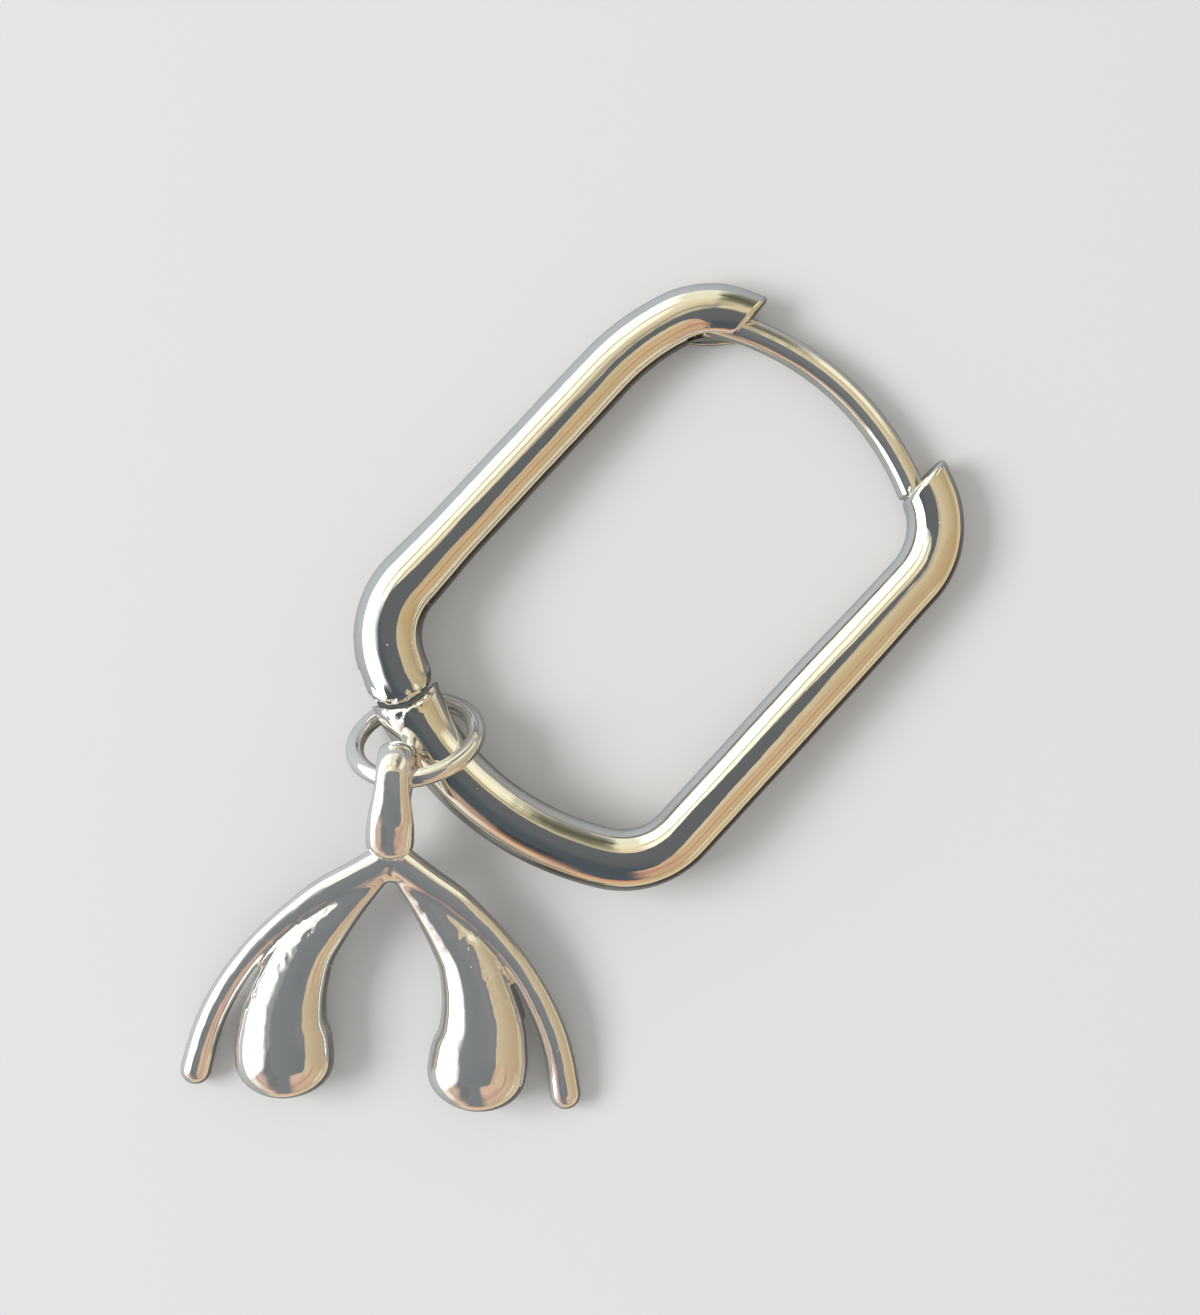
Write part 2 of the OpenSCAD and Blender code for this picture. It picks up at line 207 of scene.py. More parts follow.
def cutAway(piece, cutters):  # takes the cutters out of the piece
    for index, bm in enumerate(cutters):
        tool = finishMesh(bm, f"cutter{index}", Matrix.Identity(4))
        change = piece.modifiers.new("cut", "BOOLEAN")
        change.operation, change.solver, change.object = "DIFFERENCE", "EXACT", tool
        bpy.context.view_layer.update()
        shape = bpy.data.meshes.new_from_object(piece.evaluated_get(bpy.context.evaluated_depsgraph_get()))
        piece.modifiers.clear()
        piece.data = shape
        bpy.data.objects.remove(tool)


def armRows(run, ends, step, roll):  # rows along an arm: (kind, value, inset) from its head to its tail
    arc = [math.radians(degrees) for degrees in range(0, 91, 9)]
    curves = [[(size * (1 - math.sin(a)), size * (1 - math.cos(a))) for a in arc]
              for size in roll]  # depth and inset of a rolled rim, from its side to its face
    shares = (1.0, 0.8, 0.6, 0.45)
    rows = [("head", 0.0, ("share", share)) for share in shares]
    rows += [("head", depth, ("inset", inset)) for depth, inset in reversed(curves[0])]
    rows += [("headBlend", t / 9, ("inset", 0)) for t in range(1, 9)]
    count = int((ends[1] - ends[0]) / step)
    rows += [("run", ends[0] + (ends[1] - ends[0]) * i / count, ("inset", 0)) for i in range(count + 1)]
    rows += [("tailBlend", t / 9, ("inset", 0)) for t in range(1, 9)]
    rows += [("tail", depth, ("inset", inset)) for depth, inset in curves[1]]
    rows += [("tail", 0.0, ("share", share)) for share in reversed(shares)]
    return rows


def armTube(bm, run, radii, ends, headCut, tailCut, roll, crinkle):
    def point(gone, turn, radius):
        (x, y), heading = run.at(gone)
        out = math.radians(heading - 90)
        return Vector((x + radius * math.cos(turn) * math.cos(out), y + radius * math.cos(turn) * math.sin(out),
                       radius * math.sin(turn)))

    def meet(cut, low, high, turn, radius):  # where a line along the tube reaches the cut
        for _ in range(26):
            middle = (low + high) / 2
            if cut(point(middle, turn, radius)) > 0:
                low = middle
            else:
                high = middle
        return low

    def place(turn, station):
        kind, value, (how, much) = station
        head = kind.startswith("head")
        if kind == "run":
            gone, full = value, between(radii, value)
        else:
            full = between(radii, 0.0 if head else run.length)
            radius = full - (much if how == "inset" else full * much)
            if head:
                cut = meet(headCut, ends[0] + 0.01, ends[0] - 6, turn, radius)
                rim = cut + roll[0]
                gone = cut + value if kind == "head" else rim + (ends[0] - rim) * value
            else:
                cut = meet(tailCut, ends[1] - 0.01, ends[1] + 6, turn, radius)
                gone = cut - value if kind == "tail" else ends[1] + (cut - roll[1] - ends[1]) * value
            full = between(radii, gone) if kind.endswith("Blend") else radius
        spot = point(gone, turn, full)
        out = point(gone, turn, full + 1) - spot
        girth = hoop["rippleAround"]
        wave = noise.noise(Vector((gone * hoop["rippleSize"], math.cos(turn) * girth, math.sin(turn) * girth)))
        wave = wave * hoop["ripple"] if full > 0.3 else 0.0  # none near a face's middle
        if head and how == "inset":
            near = 1.0 if kind == "head" else max(0.0, 1 - value * hoop["crinkleFade"])
            wave += crinkle * near * noise.noise(spot * hoop["crinkleSize"])
        spot += out * wave
        tilt = math.radians(hoop["tilt"])
        lowest = (spot.y * math.sin(tilt) - hoop["lift"] + hoop["clear"]) / math.cos(tilt)
        spot.z = max(spot.z, lowest)  # not under the surface
        return spot

    return rolledGrid(bm, hoop["around"], armRows(run, ends, hoop["step"], roll), place)


pinAt = Vector((*hoop["pin"], 0))


def fromPin(spot):
    return math.hypot(spot.x - pinAt.x, spot.y - pinAt.y)


# upper arm: round forked end about the pin, corner, side, lean and cut tip
upperArm = {
    "forkRadius": 1.54, "faceX": -4.562255, "sideEnd": 5.26033, "leanRadius": 10, "leanTurn": 20,
    "tipRadius": 3.4, "tipTurn": 47, "tipStraight": 0.4, "roll": (0.28, 0.24), "crinkle": 0.09,
    "slotHeight": 1.2, "slotRadius": 11.875, "slotEnd": -6.4, "slotFrom": -3.2, "slotInner": 8.4, "postY": -0.025,
    "tongueSlot": 0.82, "tongueReach": 1.11, "endRow": 1.35, "tipRow": 1.1,
    "lipFrom": 0.06, "lipLength": 1.02, "lipReach": 0.84, "lipSwell": 0.34, "lipWide": 0.09, "lipDown": -0.74,
    "lipDeep": 0.14, "lipRows": 40,
}

bowArc = hoop["bowRadius"]
upperRun = Run(*hoop["pin"], hoop["pinAngle"] + 180)
upperRun.bend(bowArc, -(90 - hoop["cornerTurn"] + hoop["pinAngle"]))
upperRun.bend(hoop["cornerRadius"], -hoop["cornerTurn"])
cornerEnd = upperRun.length
upperRun.go(upperArm["sideEnd"] - hoop["cornerY"])
upperSideEnd = upperRun.length
upperRun.bend(upperArm["leanRadius"], -upperArm["leanTurn"])
upperRun.bend(upperArm["tipRadius"], -upperArm["tipTurn"])
upperRun.go(upperArm["tipStraight"])
upperEnd = upperRun.length
upperRadii = [(0, 1.36), (cornerEnd - 0.6, 1.34), (cornerEnd + 3.0, 1.2), (upperSideEnd - 2, 1.19),
              (upperSideEnd + 3.3, 1.15), (upperEnd - 1.6, 1.12), (upperEnd, 1.07)]


def upperHead(spot):
    return upperArm["forkRadius"] - fromPin(spot)


def upperTail(spot):
    return upperArm["faceX"] - spot.x


def disc(radius, depth, segments=128):
    bm = bmesh.new()
    bmesh.ops.create_cone(bm, cap_ends=True, segments=segments, radius1=radius, radius2=radius, depth=depth)
    return bm


def latchSlot():  # a flat slot in the tip, open at its face and to the middle of the hoop
    bm = disc(upperArm["slotRadius"], upperArm["slotHeight"], 360)
    bmesh.ops.translate(bm, verts=bm.verts, vec=(0, upperArm["postY"], 0))
    for at, normal in (((upperArm["slotEnd"], 0, 0), (-1, 0, 0)), ((upperArm["slotFrom"], 0, 0), (1, 0, 0)),
                       ((0, upperArm["slotInner"], 0), (0, -1, 0))):
        cut = bmesh.ops.bisect_plane(bm, geom=bm.verts[:] + bm.edges[:] + bm.faces[:], dist=1e-6,
                                     plane_co=at, plane_no=normal, clear_outer=True)
        rim = [e for e in cut["geom_cut"] if isinstance(e, bmesh.types.BMEdge)]
        bmesh.ops.contextual_create(bm, geom=rim)
    return bm


def tongueOpenings():  # the slot as it is shut, and as it is turned open, each cutter one plain closed solid
    reach, thick = upperArm["tongueReach"], upperArm["tongueSlot"]
    found = [disc(reach, thick, 64)]
    for turn in (0, hoop["openTurn"]):
        bm = bmesh.new()
        bmesh.ops.create_cube(bm, size=1)
        bmesh.ops.scale(bm, vec=(3, 2 * reach, thick), verts=bm.verts)
        bmesh.ops.translate(bm, vec=(1.5, 0, 0), verts=bm.verts)
        turned = Matrix.Rotation(math.radians(hoop["pinAngle"] + turn), 3, "Z")
        bmesh.ops.rotate(bm, cent=(0, 0, 0), matrix=turned, verts=bm.verts)
        found.append(bm)
    for bm in found:
        bmesh.ops.translate(bm, vec=pinAt, verts=bm.verts)
    return found


def latchLip(bm):  # thin crescent under the slot, standing out towards the middle
    last = upperRun.stretches[-2]

    def place(turn, station):
        share = station / upperArm["lipRows"]
        (x, y), heading = upperRun.at(last[0] + last[1] * (upperArm["lipFrom"] + upperArm["lipLength"] * share))
        inward = math.radians(heading - 90)
        swell = math.sin(math.pi * share) ** 0.55
        reach = upperArm["lipReach"] + upperArm["lipSwell"] * swell + upperArm["lipWide"] * swell * math.cos(turn)
        return Vector((x + reach * math.cos(inward), y + reach * math.sin(inward),
                       upperArm["lipDown"] + upperArm["lipDeep"] * swell * math.sin(turn)))

    rolledGrid(bm, 24, list(range(upperArm["lipRows"] + 1)), place)


bm = bmesh.new()
armTube(bm, upperRun, upperRadii, (upperArm["endRow"], upperEnd - upperArm["tipRow"]), upperHead, upperTail,
        upperArm["roll"], upperArm["crinkle"])
upperPiece = finishMesh(bm, "upper_arm_polished", Matrix.Identity(4))
cutAway(upperPiece, tongueOpenings() + [latchSlot()])
bm = bmesh.new()
bm.from_mesh(upperPiece.data)
latchLip(bm)
bpy.data.objects.remove(upperPiece)
upperPiece = finishMesh(bm, "upper_arm_polished", levelToRow)
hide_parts("upper_arm")
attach(upperPiece, "upper")
print("upper arm:", len(upperPiece.data.polygons), "faces")


# lower arm: shoulder at the hinge, tongue, bow, corner, side and the tip that holds the post
lowerArm = {
    "shoulder": 1.68, "faceX": 4.86, "sideEnd": 7.53241, "tipRadius": 3.3, "tipTurn": 67, "tipStraight": 0.4,
    "roll": (0.28, 0.3), "crinkle": 0.09, "tongueRadius": 1.05, "tongueThick": 0.7, "tongueLength": 2.3,
    "beadAt": (4.74, 10.08, 0.05), "beadSize": (0.27, 0.44, 0.54), "beadRough": 0.25, "endRow": 2.9, "tipRow": 1.1,
}

lowerRun = Run(*hoop["pin"], hoop["pinAngle"])
lowerRun.bend(bowArc, 90 - hoop["cornerTurn"] - hoop["pinAngle"])
bowEnd = lowerRun.length
lowerRun.bend(hoop["cornerRadius"], hoop["cornerTurn"])
lowerRun.go(lowerArm["sideEnd"] - hoop["cornerY"])
lowerSideEnd = lowerRun.length
lowerRun.bend(lowerArm["tipRadius"], lowerArm["tipTurn"])
lowerRun.go(lowerArm["tipStraight"])
lowerEnd = lowerRun.length
lowerRadii = [(0, 1.35), (1.8, 1.34), (3.4, 1.23), (bowEnd, 1.22), (lowerSideEnd - 6, 1.23), (lowerSideEnd, 1.16),
              (lowerEnd - 1.5, 1.14), (lowerEnd, 1.14)]


def lowerHead(spot):
    return fromPin(spot) - lowerArm["shoulder"]


def lowerTail(spot):
    return spot.x - lowerArm["faceX"]


def tongue(bm):
    made = bmesh.ops.create_cone(bm, cap_ends=True, segments=64, radius1=lowerArm["tongueRadius"],
                                 radius2=lowerArm["tongueRadius"], depth=lowerArm["tongueThick"])["verts"]
    block = bmesh.ops.create_cube(bm, size=1)["verts"]
    size = (lowerArm["tongueLength"], 2 * lowerArm["tongueRadius"], lowerArm["tongueThick"])
    bmesh.ops.scale(bm, vec=size, verts=block)
    bmesh.ops.translate(bm, vec=(lowerArm["tongueLength"] / 2, 0, 0), verts=block)
    turn = Matrix.Rotation(math.radians(hoop["pinAngle"]), 3, "Z")
    bmesh.ops.rotate(bm, cent=(0, 0, 0), matrix=turn, verts=made + block)
    bmesh.ops.translate(bm, vec=pinAt, verts=made + block)


def solderBead(bm):  # where the post goes into the tip
    made = bmesh.ops.create_uvsphere(bm, u_segments=32, v_segments=20, radius=1)["verts"]
    bmesh.ops.scale(bm, vec=lowerArm["beadSize"], verts=made)
    bmesh.ops.translate(bm, vec=lowerArm["beadAt"], verts=made)
    for vert in made:
        vert.co += (vert.co - Vector(lowerArm["beadAt"])) * lowerArm["beadRough"] * noise.noise(vert.co * 4)


bm = bmesh.new()
armTube(bm, lowerRun, lowerRadii, (lowerArm["endRow"], lowerEnd - lowerArm["tipRow"]), lowerHead, lowerTail,
        lowerArm["roll"], lowerArm["crinkle"])
tongue(bm)
solderBead(bm)
lowerPiece = finishMesh(bm, "lower_arm_polished", levelToRow)
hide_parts("lower_arm")
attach(lowerPiece, "lower")
print("lower arm:", len(lowerPiece.data.polygons), "faces")


# ear post: one bent round wire with a ball end
earPost = {
    "radius": 0.575, "bendRadius": 11.26, "bendY": -0.025, "from": 63.3, "to": 119.6654, "around": 64, "rows": 190,
    "foot": [(0, 0.0), (0, 0.4), (0, 0.7), (0.003, 0.84), (0.007, 0.93), (0.012, 0.98)], "wave": 0.006,
}

bm = bmesh.new()
ball = [(math.sin(a), math.cos(a)) for a in (math.radians(9 * i) for i in range(1, 11))]
postLength = math.radians(earPost["to"] - earPost["from"]) * earPost["bendRadius"]
postRows = earPost["foot"] + [(i / earPost["rows"], 1.0) for i in range(3, earPost["rows"] + 1)]
postRows += [(1 + forward * earPost["radius"] / postLength, max(size, 0)) for forward, size in ball]


def placeOnPost(turn, station):
    share, size = station
    polar = math.radians(earPost["from"] + (earPost["to"] - earPost["from"]) * share)
    wave = earPost["wave"] * noise.noise(Vector((share * 9, math.cos(turn), math.sin(turn))))
    reach = earPost["radius"] * size + (wave if size == 1 else 0)
    out = earPost["bendRadius"] + reach * math.cos(turn)
    return Vector((out * math.cos(polar), earPost["bendY"] + out * math.sin(polar), reach * math.sin(turn)))


rolledGrid(bm, earPost["around"], postRows, placeOnPost)
postPiece = finishMesh(bm, "ear_post_polished", levelToRow)
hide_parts("ear_post")
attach(postPiece, "lower")
print("ear post:", len(postPiece.data.polygons), "faces")


# jump ring: round wire, spun, a little uneven
jumpRing = {
    "radius": 2.45, "wire": 0.36, "heading": 53.4, "slope": 54, "at": (-4.275417, -3.218350, 2.342092),
    "around": 48, "rows": 260, "bumps": [(0.02, 0.9), (0.006, 3.1)],
}

bm = bmesh.new()
bmesh.ops.create_circle(bm, segments=jumpRing["around"], radius=jumpRing["wire"])
bmesh.ops.rotate(bm, cent=(0, 0, 0), matrix=Matrix.Rotation(math.pi / 2, 3, "X"), verts=bm.verts)
bmesh.ops.translate(bm, vec=(jumpRing["radius"], 0, 0), verts=bm.verts)
bmesh.ops.spin(bm, geom=bm.verts[:] + bm.edges[:], cent=(0, 0, 0), axis=(0, 0, 1), angle=2 * math.pi,
               steps=jumpRing["rows"], use_merge=True)
for vert in bm.verts:
    core = Vector((vert.co.x, vert.co.y, 0)).normalized() * jumpRing["radius"]
    around = vert.co - core
    bump = sum(high * noise.noise(vert.co * size) for high, size in jumpRing["bumps"])
    vert.co = core + around * (1 + bump)
ringToRow = (Matrix.Scale(0.001, 4) @ Matrix.Translation(jumpRing["at"])
             @ Matrix.Rotation(math.radians(jumpRing["heading"]), 4, "Z")
             @ Matrix.Rotation(math.radians(-jumpRing["slope"]), 4, "X"))
ringPiece = finishMesh(bm, "jump_ring_polished", ringToRow)
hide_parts("jump_ring")
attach(ringPiece, "lower")
print("jump ring:", len(ringPiece.data.polygons), "faces")


# charm: one casting of two slim legs, two full bulbs and a loop, in its own upright frame
charm = {
    "halfWidth": 8.0, "drop": 9.35, "lower": 0.22, "leg": 0.6, "bulbWide": 2.0, "bulbDeep": 1.4, "dip": 0.48,
    "bulbUnder": 0.85,
    "loopUp": 3.55, "loopOut": 1.1, "loopWide": 0.7, "loopDeep": 0.45, "barWide": 0.96,
    "voxel": 0.066, "at": (-3.781967, -4.777233, 4.166617), "turn": 38.9, "slope": 8.040171,
    "hook": (0, 3.635, 1.247224),
    "legs": [(0.04, -0.03, 1.15, 0), (0.18, 0.046, 1.08, 0), (0.33, 0.123, 1, 0), (0.47, 0.22, 0.88, 0),
             (0.60, 0.33, 0.83, 0.06), (0.695, 0.434, 0.84, 0.17), (0.778, 0.55, 0.9, 0.34),
             (0.848, 0.676, 0.96, 0.56), (0.894, 0.797, 1, 0.78), (0.933, 0.95, 1.06, 1)],
    "bulbs": [(0.06, 0.03, 0.22), (0.11, 0.077, 0.26), (0.22, 0.18, 0.37), (0.325, 0.29, 0.49), (0.406, 0.39, 0.61),
              (0.4625, 0.527, 0.725), (0.494, 0.67, 0.87), (0.49, 0.775, 0.98), (0.483, 0.862, 1)],
    "back": [(-0.08, 0, 0.7, 1.1), (0.25, 0, 0.92, 1.05), (0.6, 0, 0.86, 1)],
    "bar": [(0.80, 1.97, 0.84, 1.05), (0.62, 1.84, 0.95, 1.2), (0.47, 1.66, 1, 1.35), (0.33, 1.5, 1, 1.45)],
    "webs": [(0.2, 0.1, 0.0, 0.6, 0.64), (0.8, -0.45, -0.02, 0.64, 0.52), (1.7, -1.3, -0.08, 0.64, 0.46),
             (2.7, -2.3, -0.18, 0.54, 0.42), (3.6, -3.25, -0.26, 0.44, 0.38), (4.5, -4.4, -0.34, 0.36, 0.34),
             (5.15, -5.3, -0.4, 0.26, 0.3), (5.55, -6.0, -0.42, 0.14, 0.2)],
    "crease": [(2.6, -2.4), (3.1, -2.9), (4.0, -4.0), (4.8, -5.1), (5.3, -6.0)],
    "marks": 0.04, "markReach": 0.32, "markSize": 3.6, "softened": 12,
}


def throughPoints(rows, count):  # an even, smooth line through rows of numbers
    found = []
    for i in range(count + 1):
        place = i / count * (len(rows) - 1)
        k = min(int(place), len(rows) - 2)
        t = place - k
        a, b, c, d = (rows[min(max(j, 0), len(rows) - 1)] for j in (k - 1, k, k + 1, k + 2))
        found.append([0.5 * (2 * q + (r - p) * t + (2 * p - 5 * q + 4 * r - s) * t * t
                             + (3 * q - p - 3 * r + s) * t ** 3) for p, q, r, s in zip(a, b, c, d)])
    return found


def limb(bm, rows, across=None, count=110, around=48, blunt=1.0, square=1.0, reach=1.0, under=1.0):
    # rows of x, y, z, half width, half depth; below 1, blunt and square keep the end's depth and width for longer
    line = throughPoints(rows, count)
    spots = [Vector(row[:3]) for row in line]
    heads = [(spots[min(i + 1, count)] - spots[max(i - 1, 0)]).normalized() for i in range(count + 1)]
    stations = [(0, math.sin(a), -math.cos(a)) for a in (math.radians(10 * i) for i in range(9))]
    stations += [(i, 1.0, 0.0) for i in range(count + 1)]
    stations += [(count, math.cos(a), math.sin(a)) for a in (math.radians(6 * i) for i in range(1, 16))]

    def place(turn, station):
        index, size, forward = station
        head = heads[index]
        wide, deep = line[index][3], line[index][4]
        depthSize, wideSize = (max(size, 0) ** power if forward > 0 else size for power in (blunt, square))
        side = Vector(across) if across else head.cross(Vector((0, 0, 1))).normalized()
        lift = head.cross(side).normalized()
        thick = min(wide, deep) if across else wide
        centre = spots[index] + head * forward * thick * (reach if forward > 0 else 1)
        rise = lift * deep * depthSize * math.sin(turn)
        return centre + side * wide * wideSize * math.cos(turn) + rise * (under if rise.z < 0 else 1)

    rolledGrid(bm, around, stations, place)


bm = bmesh.new()
for side in (-1, 1):
    limb(bm, [(side * a * charm["halfWidth"], -charm["lower"] - d * charm["drop"], -p * charm["dip"],
               s * charm["leg"], s * charm["leg"]) for a, d, s, p in charm["legs"]])
    limb(bm, [(side * a * charm["halfWidth"], -charm["lower"] - d * charm["drop"], 0,
               s * charm["bulbWide"], s ** 0.8 * charm["bulbDeep"]) for a, d, s in charm["bulbs"]],
         blunt=0.32, square=0.72, reach=0.72, under=charm["bulbUnder"])
    limb(bm, [(side * x, y, z, wide, deep) for x, y, z, wide, deep in charm["webs"]])
loopRows = [(0, r * charm["loopUp"], o * charm["loopOut"], w * charm["loopWide"], d * charm["loopDeep"])
            for r, o, w, d in charm["back"]]
for degrees in range(-90, 91, 30):
    a = math.radians(degrees)
    loopRows.append((0, charm["loopUp"] + charm["loopOut"] * math.cos(a), charm["loopOut"] * (1 + math.sin(a)),
                     charm["loopWide"], charm["loopDeep"]))
loopRows += [(0, r * charm["loopUp"], o * charm["loopOut"], w * charm["barWide"], d * charm["loopDeep"])
             for r, o, w, d in charm["bar"]]
limb(bm, loopRows, across=(1, 0, 0), count=180, blunt=0.3, square=0.6, reach=0.75)
charmPiece = finishMesh(bm, "charm_casting", Matrix.Identity(4))
change = charmPiece.modifiers.new("cast in one", "REMESH")
change.mode, change.voxel_size, change.adaptivity = "VOXEL", charm["voxel"], 0
bpy.context.view_layer.update()
cast = bpy.data.meshes.new_from_object(charmPiece.evaluated_get(bpy.context.evaluated_depsgraph_get()))
bpy.data.objects.remove(charmPiece)
bm = bmesh.new()
bm.from_mesh(cast)
for _ in range(charm["softened"]):
    bmesh.ops.smooth_vert(bm, verts=bm.verts, factor=0.5, use_axis_x=True, use_axis_y=True, use_axis_z=True)
creases = [Vector((x, y, 0)) for x, y in charm["crease"]]
bm.normal_update()
for vert in bm.verts:  # rough marks that polishing doesn't reach, where a leg meets its bulb
    flat = Vector((abs(vert.co.x), vert.co.y, 0))
    gaps = []
    for first, second in zip(creases, creases[1:]):
        along = max(0, min(1, (flat - first).dot(second - first) / (second - first).length_squared))
        gaps.append((flat - first.lerp(second, along)).length)
    near = min(gaps)
    if near < charm["markReach"] and vert.normal.z > 0:
        fade = charm["marks"] * (1 - near / charm["markReach"])
        vert.co += vert.normal * fade * noise.noise(vert.co * charm["markSize"])
charmToRow = (Matrix.Scale(0.001, 4) @ Matrix.Translation(charm["at"])
              @ Matrix.Rotation(math.radians(charm["turn"]), 4, "Z")
              @ Matrix.Rotation(math.radians(charm["slope"]), 4, "X") @ Matrix.Translation(-Vector(charm["hook"])))
charmPiece = finishMesh(bm, "charm_casting", charmToRow, sharp=170)

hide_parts("charm")
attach(charmPiece, "lower")
print("charm:", len(charmPiece.data.polygons), "faces")


# polished silver
silver = {
    "tone": shown(246, 244, 240), "dull": shown(176, 158, 132), "dust": shown(235, 235, 232),
    "roughness": 0.035, "waveScale": 650, "waveBump": 0.05, "fineScale": 9000, "fineHeight": 0.012,
    "speckScale": 2600.0,
}


def polishedSilver(name, waves, worn, haze):
    material = bpy.data.materials.new(name)
    start = emptyTree(material)
    place = start.node("ShaderNodeTexCoord", output=3)
    broad = start.node("ShaderNodeTexNoise", {}, {"Vector": place, "Scale": silver["waveScale"], "Detail": 2.0})
    fine = start.node("ShaderNodeTexNoise", {}, {"Vector": place, "Scale": silver["fineScale"], "Detail": 3.0})
    cell = {"Vector": place, "Scale": silver["speckScale"]}
    cells = start.node("ShaderNodeTexVoronoi", {"feature": "F1"}, cell)
    middles = start.node("ShaderNodeTexVoronoi", {"feature": "F1"}, cell, 2)
    chosen = start.node("ShaderNodeTexWhiteNoise", {"noise_dimensions": "3D"}, {"Vector": middles})
    speck = (1 - cells.step(0.05, 0.11)) * chosen.step(0.93, 0.95)
    tarnish = broad.step(0.6, 0.75) * worn
    tone = tarnish.blend(silver["tone"], silver["dull"])
    tone = speck.blend(tone, silver["dust"])
    height = broad * waves + fine * silver["fineHeight"]
    bump = start.node("ShaderNodeBump", {}, {"Strength": silver["waveBump"], "Distance": 0.001, "Height": height})
    shader = start.node("ShaderNodeBsdfPrincipled", {}, {
        "Base Color": tone, "Metallic": (1 - haze) - speck * 0.8,
        "Roughness": silver["roughness"] + fine * 0.03 + speck * 0.5, "Normal": bump})
    shader.finish("ShaderNodeOutputMaterial")
    return material


def dress(piece, material):
    piece.data.materials.clear()
    piece.data.materials.append(material)


hoopSilver = polishedSilver("hoopSilver", 0.35, 0.06, 0.025)
postSilver = polishedSilver("postSilver", 0.5, 0.1, 0.08)
ringSilver = polishedSilver("ringSilver", 0.6, 0.08, 0.18)
charmSilver = polishedSilver("charmSilver", 0.7, 0.1, 0.17)
for piece, material in ((upperPiece, hoopSilver), (lowerPiece, hoopSilver), (postPiece, postSilver),
                        (ringPiece, ringSilver), (charmPiece, charmSilver),
                        (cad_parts["hinge_pin"], postSilver)):
    dress(piece, material)
print("silver is on every piece")


# the studio: pale floor, surroundings, soft light and the camera
studio = {
    "floor": shown(224, 224, 223), "backdrop": shown(226, 226, 226),
    # the floor as the silver mirrors it: painted shade (dark brown) on one side, painted light (grey-blue) on the
    # other, and a painted warm glow at grazing rays
    "floorPaintedShadeAndLight": [(0.12, shown(60, 51, 46)), (0.25, shown(120, 119, 117)), (0.6, shown(158, 161, 162)),
                  (0.9, shown(182, 189, 193))],
    "floorPaintedGlow": [(0.0, shown(206, 182, 140)), (0.27, shown(210, 188, 148)), (0.34, shown(236, 226, 198)),
                 (0.42, shown(112, 98, 84))],
    "right": (0.7340, 0.6791), "floorSize": 1.5, "keyPower": 4.8, "keySize": (0.5, 0.35), "keyOut": 0.62,
    "keyHeight": 0.55, "fill": 0.6, "waver": 0.05, "waverScale": 4.0, "softness": 6,
    "card": (-0.033, 0.020, -0.045, 0.0165), "cardAt": (-0.00105, 0.00414, 0.045), "cardRound": 0.009,
    "cameraAt": (-0.00112, 0.00414, 0.1015), "lens": 68.44,
    "cardTones": [(0.0, shown(66, 77, 85)), (0.35, shown(68, 78, 85)), (0.55, shown(90, 94, 97)),
                  (1.0, shown(96, 99, 101))],
}

bm = bmesh.new()
bmesh.ops.create_grid(bm, x_segments=24, y_segments=24, size=studio["floorSize"])
floorMesh = bpy.data.meshes.new("floor")
bm.to_mesh(floorMesh)
bm.free()
floor = linked("floor", floorMesh)
floorMaterial = bpy.data.materials.new("paleFloor")
start = emptyTree(floorMaterial)
mirrored = start.node("ShaderNodeLightPath", output=3)  # the camera sees the floor plain; mirrored rays see it with painted shade and light
sideways, _, steep = start.node("ShaderNodeNewGeometry", output=4).parts()
sideways = sideways * 0.5 + 0.5
rim = (1 - steep.step(0.36, 0.46)) * (1 - sideways.step(0.3, 0.42))  # mask for a painted glow in reflections, standing for what lies low beyond the floor's edge
# in reflections only, the floor's colour is painted shade and light by ray direction, with a painted warm glow near
# grazing
floorTone = mirrored.blend(studio["floor"],
                           rim.blend(sideways.ramp(studio["floorPaintedShadeAndLight"]), steep.ramp(studio["floorPaintedGlow"])))
start.node("ShaderNodeBsdfDiffuse", {}, {"Color": floorTone}).finish("ShaderNodeOutputMaterial")
floor.data.materials.append(floorMaterial)


def stops(*rows):  # (degrees from straight up, red, green, blue, brightness)
    return [(degrees / 180, tuple(c * bright for c in shown(r, g, b)[:3]) + (1,))
            for degrees, r, g, b, bright in rows]


